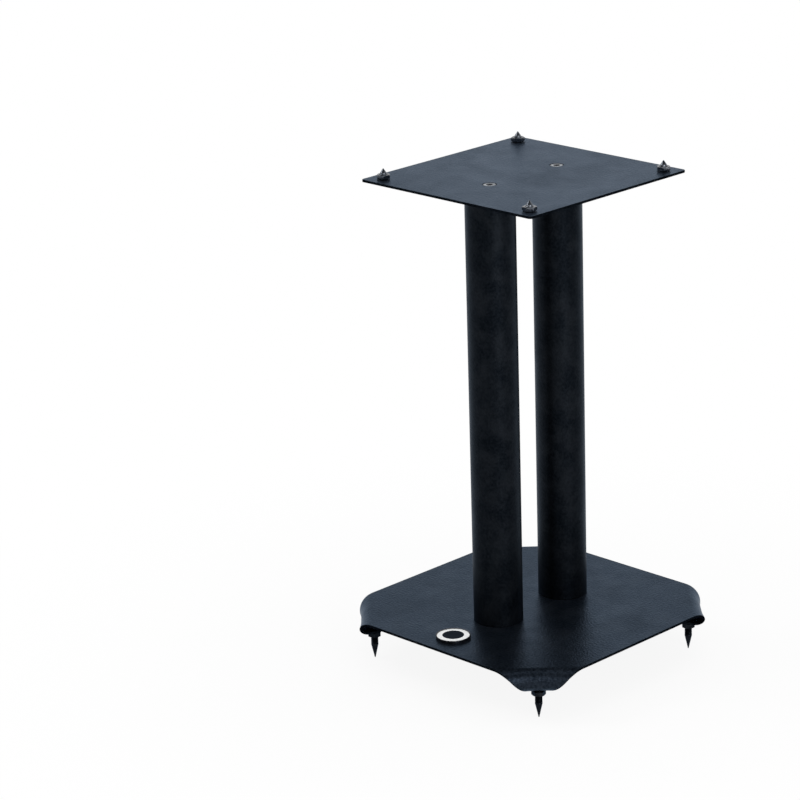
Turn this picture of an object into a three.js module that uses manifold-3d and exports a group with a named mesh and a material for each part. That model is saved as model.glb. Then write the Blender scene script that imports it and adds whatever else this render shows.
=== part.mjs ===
// Twin-column speaker stand in powder-coated steel.
// A square top plate and a square base plate are bolted to two round columns. The four corners of the
// base plate are rolled down and under, and each rolled corner holds a floor spike with its lock nut.
// Four short spikes with thin lock nuts stand on the top plate and carry the speaker.
//
// Millimetres, +Z up. The origin is on the floor under the stand's centre. -Y is the front, where the
// badge is, and +X is the right-hand side of someone who looks at the front.

import * as THREE from 'three';
import { mergeVertices } from 'three/addons/utils/BufferGeometryUtils.js';
import Module from 'manifold-3d';

const wasm = await Module();
wasm.setup();

// ---- driving dimensions -------------------------------------------------------------------------

// whole stand
const STAND_HEIGHT = 400; // floor to the upper face of the top plate
const BASE_HEIGHT = 42.2; // floor to the upper face of the base plate

// columns and their end plugs
const COLUMN_DIAMETER = 39.5;
const COLUMN_WALL = 1.5;
const COLUMN_SPACING = 76.4; // between the two column axes, front to back
const PLUG_LENGTH = 14;

// top plate
const TOP_SIDE = 178;
const TOP_THICKNESS = 2;
const TOP_CORNER_RADIUS = 3;
const TOP_SPIKE_INSET = 12.5; // side edge to spike axis

// base plate, a square sheet with its corners rolled down and under
const BASE_SIDE = 232;
const BASE_THICKNESS = 2;
const ROLL_START = 36; // on the flat sheet, from its square corner to the start of the roll
const ROLL_RADIUS = 9.5; // outer radius in the middle of the roll
const ROLL_FLARE = 1.5; // how much larger the radius is where the sheet's edge is half-way round
const FLAP_END_RADIUS = 6.5; // round end of the flap, which replaces the sheet's corner
const FLOOR_SPIKE_FROM_ROLL = 0.9; // start of the roll to spike axis

// M6 hardware
const THREAD_DIAMETER = 6;
const NUT_ACROSS_FLATS = 10;
const FLOOR_NUT_HEIGHT = 4;
const TOP_NUT_HEIGHT = 3.2;
const NUT_FACE_DIAMETER = 9.4; // flat round face inside the corner chamfers
const NUT_CHAMFER_ANGLE = 30; // degrees
const NUT_TURN = Math.PI / 6; // from a nut's own X axis to the stand's diagonal, which puts a flat there
const STUD_CHAMFER = 0.7;

// floor spikes
const FLOOR_CONE_LENGTH = 11.5;
const FLOOR_STUD_ABOVE_FLAP = 6; // thread that stands above the flap at rest
const SPIKE_POINT_DIAMETER = 0.7; // the tips are very slightly blunt

// top spikes
const TOP_CONE_LENGTH = 3.3;
const TOP_CONE_DIAMETER = 5; // of the neck and of the cone's foot, turned down from the thread
const TOP_CONE_ABOVE_NUT = 1.4; // plain neck between the lock nut and the cone
const TOP_STUD_BELOW_PLATE = 3.6;

// countersunk socket screws in the top plate
const SCREW_HEAD_DIAMETER = 10.2;
const SCREW_LENGTH = 20;
const SCREW_SOCKET_ACROSS_FLATS = 4;
const SCREW_SOCKET_DEPTH = 2.2;
const SCREW_HEAD_LAND = 0.35; // upright rim of the head above its cone

// hexagon bolts and washers under the base plate
const BOLT_LENGTH = 16; // under the head
const BOLT_HEAD_HEIGHT = 4;
const WASHER_DIAMETER = 18;
const WASHER_THICKNESS = 1.6;

// badge
const BADGE_DIAMETER = 27.6;
const BADGE_THICKNESS = 2.4;
const BADGE_RIM_WIDTH = 0.8;
const BADGE_RIM_CHAMFER = 0.3;
const BADGE_FACE_DEPTH = 0.4; // edge of the face below the rim
const BADGE_DOME = 0.5; // middle of the face above its edge
const BADGE_FRONT_INSET = 25.4; // front edge of the base plate to the badge's centre

// clearances
const THREAD_CLEARANCE = 0.3; // radial, round every stud and bolt
const PLUG_CLEARANCE = 0.3; // radial, between plug and column
const SEAT_GAP = 0.3; // under a lock nut, which turns
const HEAD_CLEARANCE = 0.3; // round a countersunk head
const HEAD_SUNK = 0.15; // how far the head lies below the plate's upper face
const OVERCUT = 1; // how far a cutting form reaches past the faces that it cuts

// fineness of round forms, in segments
const COLUMN_SEGMENTS = 48;
const HARDWARE_SEGMENTS = 20;
const BADGE_SEGMENTS = 36;
const BADGE_DOME_STEPS = 4;
const CORNER_SEGMENTS = 6;
const ROLL_STEPS = 14; // sections along the sheet's corner, round the roll
const ROLL_STRIPS = 8; // strips across it
const FLAP_STEPS = 6; // sections along the flap's round end
const FLAP_END_TURN = 110 * Math.PI / 180; // from 30 degrees before the spike to a short blunt end

// ---- sizes that follow --------------------------------------------------------------------------

const THREAD_RADIUS = THREAD_DIAMETER / 2;
const HOLE_RADIUS = THREAD_RADIUS + THREAD_CLEARANCE;
const COLUMN_RADIUS = COLUMN_DIAMETER / 2;
const COLUMN_BORE_RADIUS = COLUMN_RADIUS - COLUMN_WALL;
const COLUMN_BOTTOM = BASE_HEIGHT;
const COLUMN_TOP = STAND_HEIGHT - TOP_THICKNESS;
const BASE_UNDERSIDE = BASE_HEIGHT - BASE_THICKNESS;

const BASE_HALF_DIAGONAL = BASE_SIDE / Math.SQRT2;
const ROLL_START_DIAGONAL = BASE_HALF_DIAGONAL - ROLL_START;
const FLAP_UNDERSIDE = BASE_HEIGHT - 2 * ROLL_RADIUS;
const FLAP_UPSIDE = FLAP_UNDERSIDE + BASE_THICKNESS;
const SPIKE_ALONG = Math.PI * ROLL_RADIUS + FLOOR_SPIKE_FROM_ROLL; // on the flat sheet
const FLOOR_SPIKE_OFFSET = (ROLL_START_DIAGONAL - FLOOR_SPIKE_FROM_ROLL) / Math.SQRT2;
const FLOOR_NUT_TOP = FLAP_UNDERSIDE - SEAT_GAP;
const FLOOR_STUD_TOP = FLAP_UPSIDE + FLOOR_STUD_ABOVE_FLAP;

const TOP_SPIKE_OFFSET = TOP_SIDE / 2 - TOP_SPIKE_INSET;
const TOP_NUT_BOTTOM = STAND_HEIGHT + SEAT_GAP;
const TOP_NECK_BOTTOM = TOP_NUT_BOTTOM + TOP_NUT_HEIGHT;
const TOP_CONE_BOTTOM = TOP_NECK_BOTTOM + TOP_CONE_ABOVE_NUT;
const TOP_STUD_BOTTOM = COLUMN_TOP - TOP_STUD_BELOW_PLATE;

const SCREW_HEAD_TOP = STAND_HEIGHT - HEAD_SUNK;
const WASHER_BOTTOM = BASE_UNDERSIDE - WASHER_THICKNESS;

const COLUMN_PLACES = { front: -COLUMN_SPACING / 2, rear: COLUMN_SPACING / 2 };
const CORNERS = {
  front_left: [-1, -1],
  front_right: [1, -1],
  rear_left: [-1, 1],
  rear_right: [1, 1],
};

// ---- materials ----------------------------------------------------------------------------------

function finish(color, roughness, metalness) {
  return new THREE.MeshStandardMaterial({ color, roughness, metalness });
}

const plateCoat = () => finish(0x3a4350, 0.5, 0.15);
const columnCoat = () => finish(0x14181e, 0.45, 0.15);
const blackChrome = () => finish(0x15171b, 0.22, 0.85);
const blackOxide = () => finish(0x4a5058, 0.4, 0.8);
const bareSteel = () => finish(0x7c8086, 0.45, 0.9);
const badgeWhite = () => finish(0xf2f4f3, 0.25, 0.0);

// ---- solids -------------------------------------------------------------------------------------

// a closed three.js geometry as a solid that can be cut and joined
function solid(geometry) {
  const bare = geometry.clone();
  bare.deleteAttribute('normal');
  bare.deleteAttribute('uv');
  const merged = mergeVertices(bare, 1e-5);
  return new wasm.Manifold(new wasm.Mesh({
    numProp: 3,
    vertProperties: new Float32Array(merged.attributes.position.array),
    triVerts: new Uint32Array(merged.index.array),
  }));
}

function toGeometry(manifold) {
  const mesh = manifold.getMesh();
  const geometry = new THREE.BufferGeometry();
  geometry.setAttribute('position', new THREE.BufferAttribute(new Float32Array(mesh.vertProperties), 3));
  geometry.setIndex(new THREE.BufferAttribute(new Uint32Array(mesh.triVerts), 1));
  geometry.computeVertexNormals();
  return geometry;
}

// a profile of [radius, height] points turned about Z; it starts and ends on the axis or closes on itself
function turned(profile, segments = HARDWARE_SEGMENTS) {
  const points = profile.map(([radius, height]) => new THREE.Vector2(radius, height));
  return new THREE.LatheGeometry(points, segments).rotateX(Math.PI / 2);
}

function cylinderBetween(radius, bottom, top, segments = HARDWARE_SEGMENTS) {
  return turned([[0, bottom], [radius, bottom], [radius, top], [0, top]], segments);
}

function ringBetween(inner, outer, bottom, top, segments = HARDWARE_SEGMENTS) {
  const profile = [[inner, bottom], [outer, bottom], [outer, top], [inner, top], [inner, bottom]];
  return turned(profile, segments);
}

function extruded(shape, bottom, thickness, curveSegments = CORNER_SEGMENTS) {
  const options = { depth: thickness, bevelEnabled: false, curveSegments };
  return new THREE.ExtrudeGeometry(shape, options).translate(0, 0, bottom);
}

function hexagonPrism(acrossFlats, bottom, top) {
  const cornerRadius = acrossFlats / Math.sqrt(3);
  return cylinderBetween(cornerRadius, bottom, top, 6);
}

// a hexagon whose corners are chamfered by cones, at the lower end and, if asked, at the upper end too
function chamferedHexagon(bottom, top, chamferedAbove) {
  const face = NUT_FACE_DIAMETER / 2;
  const outside = NUT_ACROSS_FLATS / Math.sqrt(3) + OVERCUT;
  const rise = (outside - face) * Math.tan(NUT_CHAMFER_ANGLE * Math.PI / 180);
  const profile = [[0, bottom], [face, bottom], [outside, bottom + rise]];
  if (chamferedAbove) {
    profile.push([outside, top - rise], [face, top], [0, top]);
  } else {
    profile.push([outside, top], [0, top]);
  }
  return solid(hexagonPrism(NUT_ACROSS_FLATS, bottom, top)).intersect(solid(turned(profile)));
}

function roundedSquare(side, radius) {
  const half = side / 2;
  const shape = new THREE.Shape();
  shape.moveTo(half, -half + radius);
  shape.lineTo(half, half - radius);
  shape.absarc(half - radius, half - radius, radius, 0, Math.PI / 2, false);
  shape.lineTo(-half + radius, half);
  shape.absarc(-half + radius, half - radius, radius, Math.PI / 2, Math.PI, false);
  shape.lineTo(-half, -half + radius);
  shape.absarc(-half + radius, -half + radius, radius, Math.PI, 1.5 * Math.PI, false);
  shape.lineTo(half - radius, -half);
  shape.absarc(half - radius, -half + radius, radius, 1.5 * Math.PI, 2 * Math.PI, false);
  return shape;
}

function addRoundHole(shape, x, y, radius) {
  const hole = new THREE.Path();
  hole.absarc(x, y, radius, 0, 2 * Math.PI, true);
  shape.holes.push(hole);
}

// ---- top plate and its screws -------------------------------------------------------------------

// the countersunk head's outline, grown by a clearance, down to the shank
function headProfile(clearance) {
  const headRadius = SCREW_HEAD_DIAMETER / 2 + clearance;
  const shankRadius = THREAD_RADIUS + clearance;
  const landBottom = SCREW_HEAD_TOP - SCREW_HEAD_LAND;
  return [[shankRadius, landBottom - (headRadius - shankRadius)], [headRadius, landBottom]];
}

// the space that a top screw needs, through the plate and into the plug under it
function screwSeat(y) {
  const [coneEnd, landStart] = headProfile(HEAD_CLEARANCE);
  const above = STAND_HEIGHT + OVERCUT;
  const below = SCREW_HEAD_TOP - SCREW_LENGTH - OVERCUT;
  const seat = turned([
    [0, below],
    [coneEnd[0], below],
    coneEnd,
    landStart,
    [landStart[0], above],
    [0, above],
  ]);
  return solid(seat.translate(0, y, 0));
}

function makeTopPlate() {
  const shape = roundedSquare(TOP_SIDE, TOP_CORNER_RADIUS);
  for (const [sideX, sideY] of Object.values(CORNERS)) {
    addRoundHole(shape, sideX * TOP_SPIKE_OFFSET, sideY * TOP_SPIKE_OFFSET, HOLE_RADIUS);
  }
  let plate = solid(extruded(shape, COLUMN_TOP, TOP_THICKNESS));
  for (const y of Object.values(COLUMN_PLACES)) {
    plate = plate.subtract(screwSeat(y));
  }
  return toGeometry(plate);
}

function makeTopScrew() {
  const [coneEnd, landStart] = headProfile(0);
  const end = SCREW_HEAD_TOP - SCREW_LENGTH;
  const body = turned([
    [0, end],
    [THREAD_RADIUS - STUD_CHAMFER, end],
    [THREAD_RADIUS, end + STUD_CHAMFER],
    coneEnd,
    landStart,
    [landStart[0], SCREW_HEAD_TOP],
    [0, SCREW_HEAD_TOP],
  ]);
  const socketBottom = SCREW_HEAD_TOP - SCREW_SOCKET_DEPTH;
  const socket = hexagonPrism(SCREW_SOCKET_ACROSS_FLATS, socketBottom, SCREW_HEAD_TOP + OVERCUT);
  return toGeometry(solid(body).subtract(solid(socket)));
}

// ---- columns and plugs --------------------------------------------------------------------------

function makeColumn() {
  return ringBetween(COLUMN_BORE_RADIUS, COLUMN_RADIUS, COLUMN_BOTTOM, COLUMN_TOP, COLUMN_SEGMENTS);
}

function makePlug(bottom) {
  const radius = COLUMN_BORE_RADIUS - PLUG_CLEARANCE;
  return ringBetween(HOLE_RADIUS, radius, bottom, bottom + PLUG_LENGTH, COLUMN_SEGMENTS);
}

function makeUpperPlug() {
  const plug = solid(makePlug(COLUMN_TOP - PLUG_LENGTH));
  return toGeometry(plug.subtract(screwSeat(0)));
}

// ---- base plate ---------------------------------------------------------------------------------

// half the width of the sheet's corner at a distance past the start of the roll: the square corner,
// which ends in a round flap about the spike
function cornerHalfWidth(along) {
  const fromSpike = along - SPIKE_ALONG;
  const flap = Math.sqrt(Math.max(FLAP_END_RADIUS ** 2 - fromSpike ** 2, 0));
  return fromSpike > 0 ? flap : Math.max(ROLL_START - along, flap);
}

// outer radius of the roll at a distance from its middle, which is straight as far as the flap is wide
function rollRadius(across) {
  const halfWay = ROLL_START - ROLL_RADIUS * Math.PI / 2;
  const pastFlap = Math.max(Math.abs(across) - FLAP_END_RADIUS, 0);
  return ROLL_RADIUS + ROLL_FLARE * (pastFlap / (halfWay - FLAP_END_RADIUS)) ** 2;
}

// where a point of the sheet's corner lies once it is rolled: X runs out along the diagonal,
// depth is 0 on the outer skin and the sheet's thickness on the inner one
function rolledPoint(along, across, depth) {
  const outer = rollRadius(across);
  const angle = Math.min(Math.max(along, 0) / outer, Math.PI);
  const pastRoll = Math.max(along - Math.PI * outer, 0);
  const beforeRoll = Math.min(along, 0);
  const radius = outer - depth;
  return new THREE.Vector3(
    ROLL_START_DIAGONAL + beforeRoll + radius * Math.sin(angle) - pastRoll,
    across,
    BASE_HEIGHT - outer + radius * Math.cos(angle),
  );
}

// distances along the diagonal at which the corner's sections lie, the first one inside the flat sheet
function cornerStations() {
  const lap = BASE_THICKNESS;
  const stations = [-lap];
  for (let i = 0; i <= ROLL_STEPS; i += 1) {
    stations.push((SPIKE_ALONG - FLAP_END_RADIUS / 2) * i / ROLL_STEPS);
  }
  for (let i = 1; i <= FLAP_STEPS; i += 1) {
    const angle = -Math.PI / 6 + i * FLAP_END_TURN / FLAP_STEPS;
    stations.push(SPIKE_ALONG + FLAP_END_RADIUS * Math.sin(angle));
  }
  return stations;
}

// one rolled corner, pointing along +X, as a closed grid of outer and inner skin
function makeRolledCorner() {
  const stations = cornerStations();
  const rows = stations.length;
  const columns = ROLL_STRIPS + 1;
  const last = ROLL_STRIPS;
  const positions = [];
  for (const depth of [0, BASE_THICKNESS]) {
    for (const along of stations) {
      const halfWidth = Math.min(cornerHalfWidth(along), ROLL_START);
      for (let j = 0; j < columns; j += 1) {
        const across = halfWidth * (2 * j / ROLL_STRIPS - 1);
        positions.push(...rolledPoint(along, across, depth).toArray());
      }
    }
  }
  const outer = (i, j) => i * columns + j;
  const inner = (i, j) => (rows + i) * columns + j;
  const index = [];
  const quad = (a, b, c, d) => index.push(a, b, c, a, c, d);
  for (let i = 0; i < rows - 1; i += 1) {
    for (let j = 0; j < columns - 1; j += 1) {
      quad(outer(i, j), outer(i + 1, j), outer(i + 1, j + 1), outer(i, j + 1));
      quad(inner(i, j), inner(i, j + 1), inner(i + 1, j + 1), inner(i + 1, j));
    }
    quad(outer(i, 0), inner(i, 0), inner(i + 1, 0), outer(i + 1, 0));
    quad(outer(i, last), outer(i + 1, last), inner(i + 1, last), inner(i, last));
  }
  for (let j = 0; j < columns - 1; j += 1) {
    quad(outer(0, j), outer(0, j + 1), inner(0, j + 1), inner(0, j));
    quad(outer(rows - 1, j), inner(rows - 1, j), inner(rows - 1, j + 1), outer(rows - 1, j + 1));
  }
  const geometry = new THREE.BufferGeometry();
  geometry.setAttribute('position', new THREE.Float32BufferAttribute(positions, 3));
  geometry.setIndex(index);
  return geometry;
}

// the flat middle of the base plate: the square less the four corners that are rolled
function makeFlatSheet() {
  const half = BASE_SIDE / 2;
  const cut = ROLL_START_DIAGONAL * Math.SQRT2 - half;
  const shape = new THREE.Shape();
  shape.moveTo(half, -cut);
  shape.lineTo(half, cut);
  shape.lineTo(cut, half);
  shape.lineTo(-cut, half);
  shape.lineTo(-half, cut);
  shape.lineTo(-half, -cut);
  shape.lineTo(-cut, -half);
  shape.lineTo(cut, -half);
  for (const y of Object.values(COLUMN_PLACES)) {
    addRoundHole(shape, 0, y, HOLE_RADIUS);
  }
  return extruded(shape, BASE_UNDERSIDE, BASE_THICKNESS);
}

function makeBasePlate() {
  const spikeDiagonal = ROLL_START_DIAGONAL - FLOOR_SPIKE_FROM_ROLL;
  const holeTop = (FLAP_UPSIDE + BASE_UNDERSIDE) / 2;
  const hole = cylinderBetween(HOLE_RADIUS, FLAP_UNDERSIDE - OVERCUT, holeTop);
  const corner = solid(makeRolledCorner()).subtract(solid(hole.translate(spikeDiagonal, 0, 0)));
  let plate = solid(makeFlatSheet());
  for (const [sideX, sideY] of Object.values(CORNERS)) {
    const turn = Math.atan2(sideY, sideX) * 180 / Math.PI;
    plate = plate.add(corner.rotate([0, 0, turn]));
  }
  return toGeometry(plate);
}

// ---- bolts and washers under the base plate -----------------------------------------------------

function makeWasher() {
  return ringBetween(HOLE_RADIUS, WASHER_DIAMETER / 2, WASHER_BOTTOM, BASE_UNDERSIDE);
}

function makeBaseBolt() {
  const headBottom = WASHER_BOTTOM - BOLT_HEAD_HEIGHT;
  const end = WASHER_BOTTOM + BOLT_LENGTH;
  const head = chamferedHexagon(headBottom, WASHER_BOTTOM, false);
  const shank = turned([
    [0, headBottom + BOLT_HEAD_HEIGHT / 2],
    [THREAD_RADIUS, headBottom + BOLT_HEAD_HEIGHT / 2],
    [THREAD_RADIUS, end - STUD_CHAMFER],
    [THREAD_RADIUS - STUD_CHAMFER, end],
    [0, end],
  ]);
  return toGeometry(head.add(solid(shank)));
}

// ---- spikes and lock nuts -----------------------------------------------------------------------

function makeFloorSpike() {
  return turned([
    [0, 0],
    [SPIKE_POINT_DIAMETER / 2, 0],
    [THREAD_RADIUS, FLOOR_CONE_LENGTH],
    [THREAD_RADIUS, FLOOR_STUD_TOP - STUD_CHAMFER],
    [THREAD_RADIUS - STUD_CHAMFER, FLOOR_STUD_TOP],
    [0, FLOOR_STUD_TOP],
  ]);
}

function makeTopSpike() {
  const neckRadius = TOP_CONE_DIAMETER / 2;
  return turned([
    [0, TOP_STUD_BOTTOM],
    [THREAD_RADIUS - STUD_CHAMFER, TOP_STUD_BOTTOM],
    [THREAD_RADIUS, TOP_STUD_BOTTOM + STUD_CHAMFER],
    [THREAD_RADIUS, TOP_NECK_BOTTOM],
    [neckRadius, TOP_NECK_BOTTOM + Math.abs(THREAD_RADIUS - neckRadius)],
    [neckRadius, TOP_CONE_BOTTOM],
    [SPIKE_POINT_DIAMETER / 2, TOP_CONE_BOTTOM + TOP_CONE_LENGTH],
    [0, TOP_CONE_BOTTOM + TOP_CONE_LENGTH],
  ]);
}

function makeNut(bottom, height) {
  const body = chamferedHexagon(bottom, bottom + height, true);
  const bore = cylinderBetween(HOLE_RADIUS, bottom - OVERCUT, bottom + height + OVERCUT);
  return toGeometry(body.subtract(solid(bore)));
}

// ---- badge --------------------------------------------------------------------------------------

// a plain round disc with a raised rim and a slightly domed face
function makeBadge() {
  const radius = BADGE_DIAMETER / 2;
  const rimTop = BASE_HEIGHT + BADGE_THICKNESS;
  const faceRadius = radius - BADGE_RIM_WIDTH;
  const profile = [
    [0, BASE_HEIGHT],
    [radius, BASE_HEIGHT],
    [radius, rimTop - BADGE_RIM_CHAMFER],
    [radius - BADGE_RIM_CHAMFER, rimTop],
    [faceRadius, rimTop],
  ];
  for (let i = BADGE_DOME_STEPS; i >= 0; i -= 1) {
    const share = i / BADGE_DOME_STEPS;
    profile.push([faceRadius * share, rimTop - BADGE_FACE_DEPTH + BADGE_DOME * (1 - share ** 2)]);
  }
  return turned(profile, BADGE_SEGMENTS);
}

// ---- the stand ----------------------------------------------------------------------------------

const stand = new THREE.Group();

function place(name, geometry, material, x = 0, y = 0, turn = 0) {
  const mesh = new THREE.Mesh(geometry, material);
  mesh.name = name;
  mesh.position.set(x, y, 0);
  mesh.rotation.z = turn;
  stand.add(mesh);
}

place('base_plate', makeBasePlate(), plateCoat());
place('top_plate', makeTopPlate(), plateCoat());

for (const [side, y] of Object.entries(COLUMN_PLACES)) {
  place(`${side}_column`, makeColumn(), columnCoat(), 0, y);
  place(`${side}_upper_plug`, makeUpperPlug(), bareSteel(), 0, y);
  place(`${side}_lower_plug`, makePlug(COLUMN_BOTTOM), bareSteel(), 0, y);
  place(`${side}_top_screw`, makeTopScrew(), blackOxide(), 0, y);
  place(`${side}_base_washer`, makeWasher(), blackOxide(), 0, y);
  place(`${side}_base_bolt`, makeBaseBolt(), blackOxide(), 0, y);
}

for (const [corner, [sideX, sideY]] of Object.entries(CORNERS)) {
  const turn = Math.atan2(sideY, sideX) + NUT_TURN;
  const topX = sideX * TOP_SPIKE_OFFSET;
  const topY = sideY * TOP_SPIKE_OFFSET;
  place(`top_spike_${corner}`, makeTopSpike(), blackChrome(), topX, topY);
  place(`top_nut_${corner}`, makeNut(TOP_NUT_BOTTOM, TOP_NUT_HEIGHT), blackChrome(), topX, topY, turn);
  const floorX = sideX * FLOOR_SPIKE_OFFSET;
  const floorY = sideY * FLOOR_SPIKE_OFFSET;
  const nutBottom = FLOOR_NUT_TOP - FLOOR_NUT_HEIGHT;
  place(`floor_spike_${corner}`, makeFloorSpike(), blackChrome(), floorX, floorY);
  place(`floor_nut_${corner}`, makeNut(nutBottom, FLOOR_NUT_HEIGHT), blackChrome(), floorX, floorY, turn);
}

place('badge', makeBadge(), badgeWhite(), 0, -BASE_SIDE / 2 + BADGE_FRONT_INSET);

export default stand;
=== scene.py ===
import math

import bmesh
import bpy
from mathutils import Matrix, Vector


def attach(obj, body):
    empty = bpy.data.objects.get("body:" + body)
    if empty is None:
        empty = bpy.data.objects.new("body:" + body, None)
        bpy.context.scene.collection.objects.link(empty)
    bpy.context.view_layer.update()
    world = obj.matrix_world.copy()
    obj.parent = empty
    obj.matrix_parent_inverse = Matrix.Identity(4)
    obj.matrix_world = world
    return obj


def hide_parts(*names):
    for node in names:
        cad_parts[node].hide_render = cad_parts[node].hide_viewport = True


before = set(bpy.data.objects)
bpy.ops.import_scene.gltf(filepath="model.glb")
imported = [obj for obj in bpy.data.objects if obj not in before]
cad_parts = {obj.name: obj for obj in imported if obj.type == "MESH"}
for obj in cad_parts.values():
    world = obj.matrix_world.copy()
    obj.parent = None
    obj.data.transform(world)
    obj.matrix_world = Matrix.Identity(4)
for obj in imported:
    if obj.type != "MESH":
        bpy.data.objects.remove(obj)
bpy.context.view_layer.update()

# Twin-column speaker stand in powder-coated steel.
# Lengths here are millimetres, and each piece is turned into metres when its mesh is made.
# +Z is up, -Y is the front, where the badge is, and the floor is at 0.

METRES = 0.001
TAU = 2 * math.pi

# ---- sizes --------------------------------------------------------------------------------------

STAND_HEIGHT = 400.0
BASE_HEIGHT = 42.2

COLUMN_RADIUS = 19.75
COLUMN_WALL = 1.5
COLUMN_REACH = 38.2  # the stand's middle to a column's axis

TOP_SIDE = 178.0
TOP_THICKNESS = 2.0
TOP_CORNER_RADIUS = 3.0
TOP_SPIKE_OFFSET = 76.5

BASE_SIDE = 232.0
BASE_THICKNESS = 2.0
ROLL_START = 36.0
ROLL_RADIUS = 9.5
ROLL_FLARE = 1.5
FLAP_END_RADIUS = 6.5
FLOOR_SPIKE_FROM_ROLL = 0.9
SHEET_EDGE = 0.35  # rounding of a plate's edges
FULLY_WORN_TURN = 0.5  # radians between two faces at which their edge counts as sharp

THREAD_RADIUS = 3.0
THREAD_PITCH = 1.0
THREAD_DEPTH = 0.5
GROOVE_HALF_WIDTH = 0.42  # of the pitch
GROOVE_STEEPNESS = 1.15  # above 1, the groove has a flat bottom
HOLE_RADIUS = 3.3
NUT_ACROSS_FLATS = 10.0
NUT_FACE_RADIUS = 4.7
NUT_CORNER_RADIUS = 0.3
NUT_CHAMFER = math.radians(30)
FLOOR_NUT_HEIGHT = 4.0
TOP_NUT_HEIGHT = 3.2
SEAT_GAP = 0.3

FLOOR_CONE_LENGTH = 11.5
SPIKE_POINT_RADIUS = 0.35
TOP_CONE_LENGTH = 3.3
TOP_CONE_RADIUS = 2.5
TOP_CONE_ABOVE_NUT = 1.4
TOP_STUD_BELOW_PLATE = 3.6
FLOOR_STUD_ABOVE_FLAP = 6.0
STUD_CHAMFER = 0.7
BORE_CHAMFER_WIDTH = 0.25
BORE_CHAMFER_DEPTH = 0.35
NEXT_TO_AXIS = 0.001  # radius of a loop that closes an end

SCREW_HEAD_RADIUS = 5.1
SCREW_HEAD_TOP = STAND_HEIGHT - 0.15
SCREW_HEAD_LAND = 0.35
SCREW_GLINT_RADIUS = 4.6  # outer radius of the painted highlight ring on its face, inside a black edge
SCREW_LENGTH = 20.0
SCREW_SOCKET_ACROSS_FLATS = 4.0
SCREW_SOCKET_DEPTH = 2.2
SCREW_RIM = 0.12  # rounding of the head's edge
SOCKET_CORNER_RADIUS = 0.12
SOCKET_LEAD_RADIUS = SCREW_SOCKET_ACROSS_FLATS * 0.72
SOCKET_LEAD_DEPTH = 0.5

WASHER_RADIUS = 9.0
WASHER_THICKNESS = 1.6
BOLT_HEAD_HEIGHT = 4.0
BOLT_LENGTH = 16.0
BOLT_DISH_RADIUS = 3.4  # the shallow dish in a bolt's head
BOLT_DISH_EDGE_RADIUS = 3.7
BOLT_DISH_DEPTH = 0.3

BADGE_RADIUS = 13.8
BADGE_THICKNESS = 2.4
BADGE_RIM_WIDTH = 0.8
BADGE_RIM_CHAMFER = 0.3
BADGE_DOME = 0.5
BADGE_FACE_DEPTH = 0.4
BADGE_RING_WIDTH = 4.6  # white ring inside the rim, round a dark face
BADGE_Y = -90.6

COLUMN_TOP = STAND_HEIGHT - TOP_THICKNESS
BASE_UNDERSIDE = BASE_HEIGHT - BASE_THICKNESS
ROLL_START_DIAGONAL = BASE_SIDE / math.sqrt(2) - ROLL_START
SPIKE_ALONG = math.pi * ROLL_RADIUS + FLOOR_SPIKE_FROM_ROLL
FLOOR_SPIKE_OFFSET = (ROLL_START_DIAGONAL - FLOOR_SPIKE_FROM_ROLL) / math.sqrt(2)
FLAP_UNDERSIDE = BASE_HEIGHT - 2 * ROLL_RADIUS
FLOOR_STUD_TOP = FLAP_UNDERSIDE + BASE_THICKNESS + FLOOR_STUD_ABOVE_FLAP
TOP_NUT_BOTTOM = STAND_HEIGHT + SEAT_GAP
TOP_NECK_BOTTOM = TOP_NUT_BOTTOM + TOP_NUT_HEIGHT
TOP_CONE_BOTTOM = TOP_NECK_BOTTOM + TOP_CONE_ABOVE_NUT

COLUMNS = {"front": -COLUMN_REACH, "rear": COLUMN_REACH}
CORNERS = {
    "front_left": (-1, -1),
    "front_right": (1, -1),
    "rear_left": (-1, 1),
    "rear_right": (1, 1),
}

# ---- mesh making --------------------------------------------------------------------------------


def skin(bm, loops, closed=False):
    """Join loops of points by faces, one after the other; a loop of one point closes an end."""
    rows = [[bm.verts.new(point) for point in loop] for loop in loops]
    pairs = list(zip(rows, rows[1:]))
    if closed:
        pairs.append((rows[-1], rows[0]))
    for low, high in pairs:
        for i in range(max(len(low), len(high))):
            a, b = low[i % len(low)], low[(i + 1) % len(low)]
            c, d = high[(i + 1) % len(high)], high[i % len(high)]
            bm.faces.new(list(dict.fromkeys((a, b, c, d))))
    return rows


def circle(radius, height, segments=48, middle=(0.0, 0.0)):
    if radius == 0:
        return [Vector((*middle, height))]
    turns = (TAU * i / segments for i in range(segments))
    return [
        Vector((middle[0] + radius * math.cos(t), middle[1] + radius * math.sin(t), height))
        for t in turns
    ]


def turned(bm, profile, segments=48, closed=False):
    """A form of revolution about Z from (radius, height) points."""
    return skin(bm, [circle(radius, height, segments) for radius, height in profile], closed)


def paint_between(bm, row, other, index):
    """Give the faces between two neighbouring loops the piece's material of that index."""
    both = {*row, *other}
    for face in bm.faces:
        if both.issuperset(face.verts):
            face.material_index = index


def paint_shaded_side(bm):
    """Give all that is made of a plate so far, its edges and underside, its second material: a rougher
    coat darkened as painted shade.
    """
    for face in bm.faces:
        face.material_index = 1


def fill_flat(bm, *outlines):
    """Fill a flat face between an outline and the holes in it."""
    edges = []
    for verts in outlines:
        for a, b in zip(verts, verts[1:] + verts[:1]):
            edges.append(bm.edges.get((a, b)) or bm.edges.new((a, b)))
    bmesh.ops.triangle_fill(bm, edges=edges, use_beauty=True, normal=(0, 0, 1))


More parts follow.
